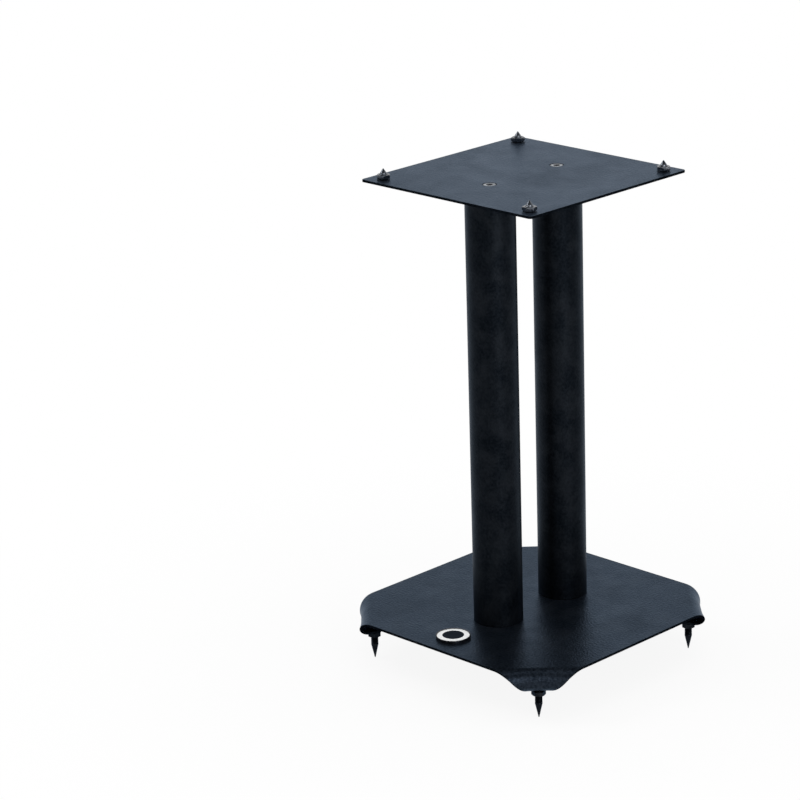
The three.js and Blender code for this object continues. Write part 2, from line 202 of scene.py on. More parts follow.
def make_piece(name, bm, body, materials, nodes, place=(0, 0), turn=0.0, sharp=35.0):
    """Turn a mesh in millimetres into a piece that rides on its body and stands for its nodes."""
    bmesh.ops.remove_doubles(bm, verts=bm.verts, dist=1e-5)
    bmesh.ops.recalc_face_normals(bm, faces=bm.faces)
    bm.transform(Matrix.Translation((*place, 0)) @ Matrix.Rotation(turn, 4, "Z"))
    bm.transform(Matrix.Scale(METRES, 4))
    worn = bm.verts.layers.float.new("edge")
    for vert in bm.verts:
        turns = [e.calc_face_angle_signed(0.0) for e in vert.link_edges if len(e.link_faces) == 2]
        vert[worn] = min(max(turns, default=0.0) / FULLY_WORN_TURN, 1.0)
    mesh = bpy.data.meshes.new(name)
    bm.to_mesh(mesh)
    bm.free()
    mesh.shade_smooth()
    mesh.set_sharp_from_angle(angle=math.radians(sharp))
    for material in materials:
        mesh.materials.append(material)
    piece = bpy.data.objects.new(name, mesh)
    bpy.context.scene.collection.objects.link(piece)
    weighted = piece.modifiers.new("even shading", "WEIGHTED_NORMAL")
    weighted.keep_sharp = True
    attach(piece, body)
    if nodes:
        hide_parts(*nodes)
    return piece


def edge_steps(low, high, rounding=SHEET_EDGE, steps=3):
    """(inset, height) points that take a plate's edge round from its lower to its upper face."""
    points = []
    for i in range(steps + 1):
        angle = math.pi / 2 * i / steps
        points.append((rounding * (1 - math.sin(angle)), low + rounding * (1 - math.cos(angle))))
    return points + [(inset, low + high - height) for inset, height in reversed(points)]


# ---- threads and hexagons -----------------------------------------------------------------------


def thread_loops(bottom, top, fade=1.2, segments=32, per_turn=8):
    """Loops of a threaded length, whose groove winds up once in each pitch and runs out at the ends."""
    loops = []
    steps = max(2, round((top - bottom) / THREAD_PITCH * per_turn))
    for k in range(steps + 1):
        height = bottom + (top - bottom) * k / steps
        near_end = min(height - bottom, top - height) / fade
        depth = THREAD_DEPTH * min(max(near_end, 0.0), 1.0)
        loop = []
        for i in range(segments):
            angle = TAU * i / segments
            phase = (height / THREAD_PITCH - i / segments) % 1.0
            groove = max(0.0, 1 - abs(phase - 0.5) / GROOVE_HALF_WIDTH)
            radius = THREAD_RADIUS - depth * min(groove * GROOVE_STEEPNESS, 1.0)
            loop.append(Vector((radius * math.cos(angle), radius * math.sin(angle), height)))
        loops.append(loop)
    return loops


def hexagon_reach(angle, across_flats, corner_radius):
    """Distance from the axis to the side of a hexagon with softened corners, a flat facing angle 0."""
    sector = TAU / 6
    from_flat = (angle + sector / 2) % sector - sector / 2
    flat = across_flats / 2
    from_corner = sector / 2 - abs(from_flat)
    middle = (flat - corner_radius) / math.cos(sector / 2)
    touch = sector / 2 - math.atan(math.tan(sector / 2) * (flat - corner_radius) / flat)
    if from_corner < touch:
        side = middle * math.sin(from_corner)
        return middle * math.cos(from_corner) + math.sqrt(corner_radius ** 2 - side ** 2)
    return flat / math.cos(from_flat)


HEXAGON_TURNS = [
    math.radians(60 * sector + offset)
    for sector in range(6)
    for offset in (-29.3, -28.4, -24, -18, -12, -6, 0, 6, 12, 18, 24, 28.4, 29.3, 30)
]


def hexagon_loop(height_at, across_flats=NUT_ACROSS_FLATS, corner_radius=NUT_CORNER_RADIUS):
    loop = []
    for angle in HEXAGON_TURNS:
        reach = hexagon_reach(angle, across_flats, corner_radius)
        loop.append(Vector((reach * math.cos(angle), reach * math.sin(angle), height_at(reach))))
    return loop


def loop_at_hexagon_turns(radius, height):
    return [Vector((radius * math.cos(a), radius * math.sin(a), height)) for a in HEXAGON_TURNS]


def chamfer_drop(reach):
    return (reach - NUT_FACE_RADIUS) * math.tan(NUT_CHAMFER)


# ---- spikes, nuts, screws and bolts -------------------------------------------------------------


def floor_spike_mesh():
    bm = bmesh.new()
    shoulder = FLOOR_CONE_LENGTH
    skin(bm, [
        circle(0, 0, 32),
        circle(SPIKE_POINT_RADIUS * 0.6, 0.04, 32),
        circle(SPIKE_POINT_RADIUS, 0.22, 32),
        circle(THREAD_RADIUS * 0.5, shoulder * 0.46, 32),
        circle(THREAD_RADIUS - 0.12, shoulder - 0.35, 32),
        circle(THREAD_RADIUS, shoulder, 32),
        *thread_loops(shoulder + 0.4, FLOOR_STUD_TOP - STUD_CHAMFER),
        circle(THREAD_RADIUS - STUD_CHAMFER, FLOOR_STUD_TOP, 32),
        circle(0, FLOOR_STUD_TOP, 32),
    ])
    return bm


def top_spike_mesh():
    bm = bmesh.new()
    bottom = COLUMN_TOP - TOP_STUD_BELOW_PLATE
    tip = TOP_CONE_BOTTOM + TOP_CONE_LENGTH
    skin(bm, [
        circle(0, bottom, 32),
        circle(THREAD_RADIUS - STUD_CHAMFER, bottom, 32),
        *thread_loops(bottom + STUD_CHAMFER, TOP_NECK_BOTTOM, fade=0.6),
        circle(TOP_CONE_RADIUS, TOP_NECK_BOTTOM + THREAD_RADIUS - TOP_CONE_RADIUS, 32),
        circle(TOP_CONE_RADIUS, TOP_CONE_BOTTOM - 0.1, 32),
        circle(TOP_CONE_RADIUS - 0.08, TOP_CONE_BOTTOM + 0.1, 32),
        circle(SPIKE_POINT_RADIUS, tip - 0.15, 32),
        circle(SPIKE_POINT_RADIUS * 0.6, tip - 0.02, 32),
        circle(0, tip, 32),
    ])
    return bm


def nut_mesh(bottom, height):
    bm = bmesh.new()
    top = bottom + height
    skin(bm, [
        loop_at_hexagon_turns(HOLE_RADIUS, bottom + BORE_CHAMFER_DEPTH),
        loop_at_hexagon_turns(HOLE_RADIUS + BORE_CHAMFER_WIDTH, bottom),
        loop_at_hexagon_turns(NUT_FACE_RADIUS, bottom),
        hexagon_loop(lambda reach: bottom + chamfer_drop(reach)),
        hexagon_loop(lambda reach: top - chamfer_drop(reach)),
        loop_at_hexagon_turns(NUT_FACE_RADIUS, top),
        loop_at_hexagon_turns(HOLE_RADIUS + BORE_CHAMFER_WIDTH, top),
        loop_at_hexagon_turns(HOLE_RADIUS, top - BORE_CHAMFER_DEPTH),
    ], closed=True)
    return bm


def top_screw_mesh():
    bm = bmesh.new()
    top = SCREW_HEAD_TOP
    land = top - SCREW_HEAD_LAND
    end = top - SCREW_LENGTH
    rim = SCREW_RIM
    socket = dict(
        across_flats=SCREW_SOCKET_ACROSS_FLATS, corner_radius=SOCKET_CORNER_RADIUS,
    )
    floor = top - SCREW_SOCKET_DEPTH
    rows = skin(bm, [
        loop_at_hexagon_turns(NEXT_TO_AXIS, end),
        loop_at_hexagon_turns(THREAD_RADIUS - STUD_CHAMFER, end),
        loop_at_hexagon_turns(THREAD_RADIUS, end + STUD_CHAMFER),
        loop_at_hexagon_turns(THREAD_RADIUS, land - (SCREW_HEAD_RADIUS - THREAD_RADIUS)),
        loop_at_hexagon_turns(SCREW_HEAD_RADIUS, land),
        loop_at_hexagon_turns(SCREW_HEAD_RADIUS, top - rim),
        loop_at_hexagon_turns(SCREW_HEAD_RADIUS - rim * 0.3, top - rim * 0.3),
        loop_at_hexagon_turns(SCREW_HEAD_RADIUS - rim, top),
        loop_at_hexagon_turns(SCREW_GLINT_RADIUS, top),
        loop_at_hexagon_turns(SOCKET_LEAD_RADIUS, top),
        hexagon_loop(lambda reach: top - SOCKET_LEAD_DEPTH, **socket),
        hexagon_loop(lambda reach: floor, **socket),
        loop_at_hexagon_turns(NEXT_TO_AXIS, floor - SOCKET_LEAD_DEPTH),
    ])
    # Painted highlight: the ring round the socket gets a lighter metal, which stands in for glints on
    # the dark head.
    paint_between(bm, rows[8], rows[9], 1)
    return bm


def base_bolt_mesh():
    bm = bmesh.new()
    top = BASE_UNDERSIDE - WASHER_THICKNESS
    bottom = top - BOLT_HEAD_HEIGHT
    end = top + BOLT_LENGTH
    skin(bm, [
        loop_at_hexagon_turns(NEXT_TO_AXIS, bottom + BOLT_DISH_DEPTH),
        loop_at_hexagon_turns(BOLT_DISH_RADIUS, bottom + BOLT_DISH_DEPTH),
        loop_at_hexagon_turns(BOLT_DISH_EDGE_RADIUS, bottom),
        loop_at_hexagon_turns(NUT_FACE_RADIUS, bottom),
        hexagon_loop(lambda reach: bottom + chamfer_drop(reach)),
        hexagon_loop(lambda reach: top),
        loop_at_hexagon_turns(THREAD_RADIUS, top),
        loop_at_hexagon_turns(THREAD_RADIUS, end - STUD_CHAMFER),
        loop_at_hexagon_turns(THREAD_RADIUS - STUD_CHAMFER, end),
        loop_at_hexagon_turns(NEXT_TO_AXIS, end),
    ])
    return bm


def washer_mesh():
    bm = bmesh.new()
    low, high = BASE_UNDERSIDE - WASHER_THICKNESS, BASE_UNDERSIDE
    outside = [(WASHER_RADIUS - inset, height) for inset, height in edge_steps(low, high, 0.25, 2)]
    turned(bm, [(HOLE_RADIUS, low), *outside, (HOLE_RADIUS, high)], 64, closed=True)
    return bm


# ---- columns and badge --------------------------------------------------------------------------


def column_mesh():
    bm = bmesh.new()
    outside = [
        (COLUMN_RADIUS - inset, height)
        for inset, height in edge_steps(BASE_HEIGHT, COLUMN_TOP, 0.3, 3)
    ]
    bore = COLUMN_RADIUS - COLUMN_WALL
    turned(bm, [(bore, BASE_HEIGHT), *outside, (bore, COLUMN_TOP)], 128, closed=True)
    return bm


def badge_mesh():
    bm = bmesh.new()
    rim_top = BASE_HEIGHT + BADGE_THICKNESS
    face_edge = rim_top - BADGE_FACE_DEPTH
    face_radius = BADGE_RADIUS - BADGE_RIM_WIDTH
    profile = [(0, BASE_HEIGHT), (BADGE_RADIUS, BASE_HEIGHT)]
    profile += [
        (BADGE_RADIUS, rim_top - BADGE_RIM_CHAMFER),
        (BADGE_RADIUS - BADGE_RIM_CHAMFER * 0.3, rim_top - BADGE_RIM_CHAMFER * 0.3),
        (BADGE_RADIUS - BADGE_RIM_CHAMFER, rim_top),
        (face_radius + 0.1, rim_top),
        (face_radius, rim_top - 0.1),
        (face_radius, face_edge),
    ]
    face_start = len(profile)
    steps = 12
    for i in range(steps, -1, -1):
        share = i / steps
        profile.append(((face_radius - 0.05) * share, face_edge + BADGE_DOME * (1 - share ** 2)))
    rows = turned(bm, profile, 96)
    for k in range(face_start, len(rows) - 1):
        inside_ring = profile[k + 1][0] < face_radius - BADGE_RING_WIDTH
        paint_between(bm, rows[k], rows[k + 1], 2 if inside_ring else 1)
    return bm


# ---- top plate ----------------------------------------------------------------------------------


def rounded_square(side, radius, height, segments=12):
    half = side / 2 - radius
    loop = []
    for quarter, (x, y) in enumerate([(1, 1), (-1, 1), (-1, -1), (1, -1)]):
        for i in range(segments + 1):
            angle = math.pi / 2 * (quarter + i / segments)
            loop.append(Vector((
                x * half + radius * math.cos(angle), y * half + radius * math.sin(angle), height,
            )))
    return loop


def top_plate_mesh():
    bm = bmesh.new()
    low, high = COLUMN_TOP, STAND_HEIGHT
    outside = skin(bm, [
        rounded_square(TOP_SIDE - 2 * inset, TOP_CORNER_RADIUS - inset, height)
        for inset, height in edge_steps(low, high)
    ])
    outlines = [(outside[0], outside[-1])]
    for x, y in CORNERS.values():
        middle = (x * TOP_SPIKE_OFFSET, y * TOP_SPIKE_OFFSET)
        wall = skin(bm, [
            circle(HOLE_RADIUS + inset, height, 32, middle)
            for inset, height in edge_steps(low, high, 0.15, 2)
        ])
        outlines.append((wall[0], wall[-1]))
    seat_radius = SCREW_HEAD_RADIUS + 0.3
    land = SCREW_HEAD_TOP - SCREW_HEAD_LAND
    for y in COLUMNS.values():
        wall = skin(bm, [
            circle(seat_radius - (land - low), low, 64, (0, y)),
            circle(seat_radius, land, 64, (0, y)),
            circle(seat_radius, high - 0.2, 64, (0, y)),
            circle(seat_radius + 0.06, high - 0.06, 64, (0, y)),
            circle(seat_radius + 0.2, high, 64, (0, y)),
        ])
        outlines.append((wall[0], wall[-1]))
    fill_flat(bm, *[lower for lower, _ in outlines])
    # painted shade: the edges and underside made so far get the darkened coat
    paint_shaded_side(bm)
    fill_flat(bm, *[upper for _, upper in outlines])
    return bm


# ---- base plate with its rolled corners ---------------------------------------------------------


def corner_half_width(along, inset):
    """Half the width of the flat sheet's corner, which narrows to the round flap about the spike."""
    from_spike = along - SPIKE_ALONG
    flap = math.sqrt(max((FLAP_END_RADIUS - inset) ** 2 - from_spike ** 2, 0.0))
    return max(ROLL_START - along - inset * math.sqrt(2), flap)


def roll_radius(across):
    half_way = ROLL_START - ROLL_RADIUS * math.pi / 2
    past_flap = max(abs(across) - FLAP_END_RADIUS, 0.0)
    return ROLL_RADIUS + ROLL_FLARE * (past_flap / (half_way - FLAP_END_RADIUS)) ** 2


def rolled(along, across, depth, turn):
    """Where a point of the flat sheet's corner lies once the corner is rolled down and under."""
    outer = roll_radius(across)
    angle = min(max(along, 0.0) / outer, math.pi)
    past_roll = max(along - math.pi * outer, 0.0)
    radius = outer - depth
    out = ROLL_START_DIAGONAL + radius * math.sin(angle) - past_roll
    height = BASE_HEIGHT - outer + radius * math.cos(angle)
    return Matrix.Rotation(turn, 3, "Z") @ Vector((out, across, height))


ROLL_ROWS = 34
ROLL_STRIPS = 20
FLAP_START = SPIKE_ALONG - 4.4
ROLL_STATIONS = [FLAP_START * i / ROLL_ROWS for i in range(ROLL_ROWS + 1)]
FLAP_SIDES = [SPIKE_ALONG + x for x in (-3.6, -2.8, -2.0)]
FLAP_TURNS = [math.radians(98 - 196 * i / 28) for i in range(29)]


def corner_outline(inset):
    """The corner's edge on the flat sheet, from the start of the roll round the flap and back."""
    side = [(along, corner_half_width(along, inset)) for along in ROLL_STATIONS + FLAP_SIDES]
    reach = FLAP_END_RADIUS - inset
    end = [(SPIKE_ALONG + reach * math.cos(t), reach * math.sin(t)) for t in FLAP_TURNS]
    return side + end + [(along, -half) for along, half in reversed(side)]


def flap_point(bearing, depth, turn):
    """A point of the spike's hole through the flap, at a bearing from the flap's end."""
    from_roll = HOLE_RADIUS * math.cos(bearing) + FLOOR_SPIKE_FROM_ROLL
    radius = ROLL_RADIUS - depth
    height = BASE_HEIGHT - ROLL_RADIUS - math.sqrt(radius ** 2 - max(-from_roll, 0.0) ** 2)
    place = Vector((ROLL_START_DIAGONAL - from_roll, HOLE_RADIUS * math.sin(bearing), height))
    return Matrix.Rotation(turn, 3, "Z") @ place


def corner_skin(bm, outline, depth, turn):
    """One skin of a rolled corner inside its edge. Gives its first row and the edge of its hole."""
    sides = len(ROLL_STATIONS)
    rows = []
    for along, left, right in zip(ROLL_STATIONS, outline, reversed(outline)):
        half = corner_half_width(along, SHEET_EDGE)
        across = [half * (1 - 2 * j / ROLL_STRIPS) for j in range(1, ROLL_STRIPS)]
        rows.append([left, *(bm.verts.new(rolled(along, v, depth, turn)) for v in across), right])
    for near, far in zip(rows, rows[1:]):
        for j in range(ROLL_STRIPS):
            bm.faces.new((near[j], near[j + 1], far[j + 1], far[j]))
    ring = outline[sides - 1:-sides + 1] + rows[-1][-2:0:-1]
    flat_ring = corner_outline(SHEET_EDGE)[sides - 1:-sides + 1]
    flat_ring += [(FLAP_START, v) for v in reversed(across)]
    bearings = [math.atan2(v, u - SPIKE_ALONG) for u, v in flat_ring]
    hole = [bm.verts.new(flap_point(bearing, depth, turn)) for bearing in bearings]
    join_loops(bm, ring, hole)
    return rows[0], hole


def join_loops(bm, loop, other):
    for j in range(len(loop)):
        k = (j + 1) % len(loop)
        bm.faces.new((loop[j], loop[k], other[k], other[j]))


def base_plate_mesh():
    bm = bmesh.new()
    turns = sorted((math.atan2(y, x) for x, y in CORNERS.values()), reverse=True)
    rim = skin(bm, [
        [rolled(u, v, depth, turn) for turn in turns for u, v in corner_outline(inset)]
        for inset, depth in edge_steps(0.0, BASE_THICKNESS)
    ])
    size = len(corner_outline(0.0))
    holes = []
    for depth, outline in ((BASE_THICKNESS, rim[-1]), (0.0, rim[0])):
        # painted shade: first the edges, then also the underside, get the darkened coat
        paint_shaded_side(bm)
        octagon, edges = [], []
        for k, turn in enumerate(turns):
            row, hole = corner_skin(bm, outline[k * size:(k + 1) * size], depth, turn)
            octagon += row
            edges.append(hole)
        for y in COLUMNS.values():
            points = circle(HOLE_RADIUS, BASE_HEIGHT - depth, 32, (0, y))
            edges.append([bm.verts.new(point) for point in points])
        fill_flat(bm, octagon, *edges[len(turns):])
        holes.append(edges)
    for inner, outer in zip(*holes):
        join_loops(bm, inner, outer)
    return bm


# ---- shared effects -----------------------------------------------------------------------------


def add(tree, kind, inputs=None, **settings):
    """A node with its settings; an input is a value, or the output that feeds it."""
    node = tree.nodes.new(kind)
    for name, value in settings.items():
        setattr(node, name, value)
    for name, value in (inputs or {}).items():
        if isinstance(value, bpy.types.NodeSocket):
            tree.links.new(value, node.inputs[name])
        else:
            node.inputs[name].default_value = value
    return node


def new_effect(name, inputs, outputs):
    tree = bpy.data.node_groups.new(name, "ShaderNodeTree")
    for label, default in inputs.items():
        socket = tree.interface.new_socket(label, in_out="INPUT", socket_type="NodeSocketFloat")
        socket.default_value = default
    for label in outputs:
        tree.interface.new_socket(label, in_out="OUTPUT", socket_type="NodeSocketFloat")
    return tree, tree.nodes.new("NodeGroupInput"), tree.nodes.new("NodeGroupOutput")


def powder_grain_effect():
    """Fine pimples of baked powder over a soft cloudiness."""
    tree, given, out = new_effect(
        "powder grain", {"Grain": 700.0, "Clouds": 14.0, "Contrast": 0.5}, ["Shade", "Height"],
    )
    place = add(tree, "ShaderNodeTexCoord").outputs["Object"]
    grain = add(tree, "ShaderNodeTexNoise", {
        "Vector": place, "Scale": given.outputs["Grain"], "Detail": 2.0, "Roughness": 0.55,
    })
    clouds = add(tree, "ShaderNodeTexNoise", {
        "Vector": place, "Scale": given.outputs["Clouds"], "Detail": 3.0, "Roughness": 0.5,
    })
    spread = add(tree, "ShaderNodeMapRange", {
        "Value": grain.outputs["Fac"], "From Min": 0.3, "From Max": 0.7,
    })
    blend = add(tree, "ShaderNodeMix", {
        0: 0.35, 2: spread.outputs["Result"], 3: clouds.outputs["Fac"],
    }, data_type="FLOAT")
    centred = add(tree, "ShaderNodeMath", {0: blend.outputs[0], 1: 0.5}, operation="SUBTRACT")
    shade = add(tree, "ShaderNodeMath", {
        0: centred.outputs[0], 1: given.outputs["Contrast"], 2: 0.5,
    }, operation="MULTIPLY_ADD", use_clamp=True)
    tree.links.new(shade.outputs[0], out.inputs["Shade"])
    tree.links.new(spread.outputs["Result"], out.inputs["Height"])
    return tree


def rubbed_edge_effect():
    """Where an outer edge is rubbed, in patches; the meshes mark their outer edges themselves."""
    tree, given, out = new_effect("rubbed edge", {"Patches": 60.0, "Amount": 0.5}, ["Mask"])
    place = add(tree, "ShaderNodeTexCoord").outputs["Object"]
    edge = add(tree, "ShaderNodeAttribute", attribute_name="edge")
    patches = add(tree, "ShaderNodeTexNoise", {
        "Vector": place, "Scale": given.outputs["Patches"], "Detail": 4.0, "Roughness": 0.65,
    })
    worn = add(tree, "ShaderNodeMapRange", {
        "Value": patches.outputs["Fac"], "From Min": 0.42, "From Max": 0.62,
    })
    both = add(tree, "ShaderNodeMath", {
        0: edge.outputs["Fac"], 1: worn.outputs["Result"],
    }, operation="MULTIPLY")
    mask = add(tree, "ShaderNodeMath", {
        0: both.outputs[0], 1: given.outputs["Amount"],
    }, operation="MULTIPLY", use_clamp=True)
    tree.links.new(mask.outputs[0], out.inputs["Mask"])
    return tree


def handling_effect():
    """Roughness of a surface that has been wiped and handled."""
    tree, given, out = new_effect(
        "handling", {"Size": 22.0, "Clean": 0.3, "Smeared": 0.4}, ["Roughness"],
    )
    place = add(tree, "ShaderNodeTexCoord").outputs["Object"]
    smears = add(tree, "ShaderNodeTexNoise", {
        "Vector": place, "Scale": given.outputs["Size"], "Detail": 5.0, "Roughness": 0.6,
        "Distortion": 0.6,
    })
    rough = add(tree, "ShaderNodeMapRange", {
        "Value": smears.outputs["Fac"], "From Min": 0.35, "From Max": 0.7,
        "To Min": given.outputs["Clean"], "To Max": given.outputs["Smeared"],
    })
    tree.links.new(rough.outputs["Result"], out.inputs["Roughness"])
    return tree


def turning_lines_effect():
    """Fine rings that a lathe leaves round an upright part."""
    tree, given, out = new_effect("turning lines", {"Lines": 900.0, "Depth": 0.5}, ["Height"])
    place = add(tree, "ShaderNodeTexCoord").outputs["Object"]
    height = add(tree, "ShaderNodeSeparateXYZ", {"Vector": place}).outputs["Z"]
    lines = add(tree, "ShaderNodeTexNoise", {
        "W": height, "Scale": given.outputs["Lines"], "Detail": 3.0,
    }, noise_dimensions="1D")
    depth = add(tree, "ShaderNodeMath", {
        0: lines.outputs["Fac"], 1: given.outputs["Depth"],
    }, operation="MULTIPLY")
    tree.links.new(depth.outputs[0], out.inputs["Height"])
    return tree


EFFECTS = {
    "powder grain": powder_grain_effect(),
    "rubbed edge": rubbed_edge_effect(),
    "handling": handling_effect(),
    "turning lines": turning_lines_effect(),
}


def effect(tree, name, **values):
    """One of the shared effects, placed in a material with the material's own values."""
    node = tree.nodes.new("ShaderNodeGroup")
    node.node_tree = EFFECTS[name]
    for label, value in values.items():
        node.inputs[label].default_value = value
    return node


# ---- materials ----------------------------------------------------------------------------------


def new_material(name, **constants):
    material = bpy.data.materials.new(name)
    material.use_nodes = True
    tree = material.node_tree
    surface = tree.nodes["Principled BSDF"]
    for label, value in constants.items():
        surface.inputs[label.replace("_", " ")].default_value = value
    return material, tree, surface


def blend_colours(tree, share, low, high):
    mix = tree.nodes.new("ShaderNodeMix")
    mix.data_type = "RGBA"
    tree.links.new(share, mix.inputs[0])
    for socket, colour in ((6, low), (7, high)):
        if isinstance(colour, bpy.types.NodeSocket):
            tree.links.new(colour, mix.inputs[socket])
        else:
            mix.inputs[socket].default_value = (*colour, 1.0)
    return mix.outputs[2]


def bump(tree, height, strength, distance):
    node = add(tree, "ShaderNodeBump", {
        "Height": height, "Strength": strength, "Distance": distance,
    })
    return node.outputs["Normal"]


def powder_coat(name, dark, light, rubbed, grazing, flake, relief, clean, smeared, rub):
    """Baked metallic powder: pimpled, cloudy, tinted where it is seen low, rubbed at its edges."""
    material, tree, surface = new_material(
        name, Metallic=flake, Specular_Tint=(*grazing, 1.0), Specular_IOR_Level=0.0,
    )
    powder = effect(tree, "powder grain", Grain=POWDER_GRAIN, Contrast=2.0)
    colour = blend_colours(tree, powder.outputs["Shade"], dark, light)
    edge = effect(tree, "rubbed edge", Patches=55.0, Amount=rub)
    colour = blend_colours(tree, edge.outputs["Mask"], colour, rubbed)
    handled = effect(tree, "handling", Clean=clean, Smeared=smeared)
    tree.links.new(colour, surface.inputs["Base Color"])
    tree.links.new(handled.outputs["Roughness"], surface.inputs["Roughness"])
    normal = bump(tree, powder.outputs["Height"], relief, 0.00012)
    tree.links.new(normal, surface.inputs["Normal"])
    return material


def turned_metal(
    name, dark, light, rubbed, clean, smeared, lines, rub=0.6, grazing=(1.0, 1.0, 1.0),
):
    """Plated steel with fine turning lines, brighter at its rubbed edges."""
    material, tree, surface = new_material(name, Metallic=1.0, Specular_Tint=(*grazing, 1.0))
    powder = effect(tree, "powder grain", Grain=500.0, Clouds=120.0, Contrast=1.0)
    colour = blend_colours(tree, powder.outputs["Shade"], dark, light)
    edge = effect(tree, "rubbed edge", Patches=260.0, Amount=rub)
    colour = blend_colours(tree, edge.outputs["Mask"], colour, rubbed)
    handled = effect(tree, "handling", Size=150.0, Clean=clean, Smeared=smeared)
    rings = effect(tree, "turning lines", Lines=2600.0, Depth=lines)
    tree.links.new(colour, surface.inputs["Base Color"])
    tree.links.new(handled.outputs["Roughness"], surface.inputs["Roughness"])
    normal = bump(tree, rings.outputs["Height"], 0.25, 0.00005)
    tree.links.new(normal, surface.inputs["Normal"])
    return material


def enamel(name, dark, light, shine):
    """The badge's face: enamel with the faintest orange peel."""
    material, tree, surface = new_material(
        name, Coat_Roughness=0.04, Coat_Weight=shine, Specular_IOR_Level=shine,
    )
    powder = effect(tree, "powder grain", Grain=420.0, Clouds=90.0, Contrast=0.6)
    colour = blend_colours(tree, powder.outputs["Shade"], dark, light)
    handled = effect(tree, "handling", Size=120.0, Clean=0.18, Smeared=0.28)
    tree.links.new(colour, surface.inputs["Base Color"])
    tree.links.new(handled.outputs["Roughness"], surface.inputs["Roughness"])
    normal = bump(tree, powder.outputs["Height"], 0.05, 0.00005)
    tree.links.new(normal, surface.inputs["Normal"])
    return material


POWDER_GRAIN = 520.0

PLATE_COAT = powder_coat(
    "slate powder coat", dark=(0.006, 0.009, 0.014), light=(0.018, 0.024, 0.034),
    rubbed=(0.05, 0.06, 0.075), grazing=(0.76, 0.86, 1.0), flake=0.76, relief=0.9,
    clean=0.30, smeared=0.38, rub=0.35,
)
# Painted shade: a near-black, rougher copy of the slate coat for the plates' edges, undersides and the
# insides of the rolls, where the real coat lies in shade.
PLATE_PAINTED_SHADE = powder_coat(
    "slate powder coat, painted shade", dark=(0.0018, 0.0025, 0.0035), light=(0.005, 0.0065, 0.009),
    rubbed=(0.02, 0.024, 0.03), grazing=(0.30, 0.34, 0.40), flake=0.76, relief=0.55,
    clean=0.45, smeared=0.55, rub=0.3,
)
COLUMN_COAT = powder_coat(
    "black powder coat", dark=(0.0030, 0.0042, 0.0060), light=(0.0060, 0.0078, 0.0105),
    rubbed=(0.03, 0.034, 0.04), grazing=(0.74, 0.80, 0.88), flake=0.94, relief=0.35,
    clean=0.42, smeared=0.50, rub=0.3,
)
BLACK_NICKEL = turned_metal(
    "black nickel plate", dark=(0.045, 0.052, 0.064), light=(0.085, 0.097, 0.115),
    rubbed=(0.24, 0.25, 0.27), clean=0.12, smeared=0.22, lines=0.5,
)
# Painted shade: a darker, less reflective copy of the spikes' plating for the floor spikes and nuts,
# which sit in shade under the base.
FOOT_SHADED_PLATE = turned_metal(
    "foot plating, darkened as painted shade", dark=(0.004, 0.005, 0.007), light=(0.008, 0.010, 0.013),
    rubbed=(0.04, 0.044, 0.05), clean=0.18, smeared=0.30, lines=0.5, rub=0.3,
    grazing=(0.55, 0.60, 0.68),
)
# Painted highlight: a lighter metal for the ring round the screw's socket, where the dark head shows
# glints.
SCREW_PAINTED_GLINT = turned_metal(
    "screw face, painted highlight ring", dark=(0.09, 0.105, 0.125), light=(0.26, 0.29, 0.33),
    rubbed=(0.42, 0.45, 0.50), clean=0.22, smeared=0.40, lines=0.3,
)
BOLT_OXIDE = turned_metal(
    "bolt black oxide", dark=(0.030, 0.034, 0.040), light=(0.060, 0.065, 0.075),
    rubbed=(0.20, 0.20, 0.21), clean=0.30, smeared=0.45, lines=0.3,
)
PLUG_STEEL = turned_metal(
    "turned plug steel", dark=(0.36, 0.37, 0.38), light=(0.50, 0.51, 0.52),
    rubbed=(0.66, 0.66, 0.66), clean=0.32, smeared=0.45, lines=1.0,
)
BADGE_RIM = turned_metal(
    "badge black rim", dark=(0.012, 0.013, 0.016), light=(0.022, 0.024, 0.028),
    rubbed=(0.10, 0.10, 0.11), clean=0.22, smeared=0.32, lines=0.2, rub=0.3,
)
BADGE_WHITE = enamel("badge white enamel", (0.84, 0.86, 0.86), (0.93, 0.94, 0.94), shine=0.5)
BADGE_DARK = enamel("badge slate enamel", (0.010, 0.013, 0.018), (0.020, 0.025, 0.033), shine=0.0)

# ---- the stand's pieces -------------------------------------------------------------------------


def carry_over(node, material):
    """A node whose own shape is right gets its real finish."""
    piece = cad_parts[node]
    piece.data.materials.clear()
    piece.data.materials.append(material)


for name, bm, node in (
    ("base_sheet", base_plate_mesh(), "base_plate"),
    ("top_sheet", top_plate_mesh(), "top_plate"),
):
    # the plates' second material is the coat darkened as painted shade
    make_piece(name, bm, "frame", [PLATE_COAT, PLATE_PAINTED_SHADE], [node])

for side, y in COLUMNS.items():
    make_piece(
        f"{side}_tube", column_mesh(), "frame", [COLUMN_COAT],
        [f"{side}_column"], place=(0, y),
    )
    # the screw's second material is the painted highlight ring
    make_piece(
        f"{side}_socket_screw", top_screw_mesh(), "frame", [BOLT_OXIDE, SCREW_PAINTED_GLINT],
        [f"{side}_top_screw"], place=(0, y),
    )
    make_piece(
        f"{side}_bolt", base_bolt_mesh(), "frame", [BOLT_OXIDE],
        [f"{side}_base_bolt"], place=(0, y), sharp=25.0,
    )
    make_piece(
        f"{side}_washer", washer_mesh(), "frame", [BOLT_OXIDE],
        [f"{side}_base_washer"], place=(0, y), sharp=50.0,
    )
    carry_over(f"{side}_upper_plug", PLUG_STEEL)
    carry_over(f"{side}_lower_plug", PLUG_STEEL)

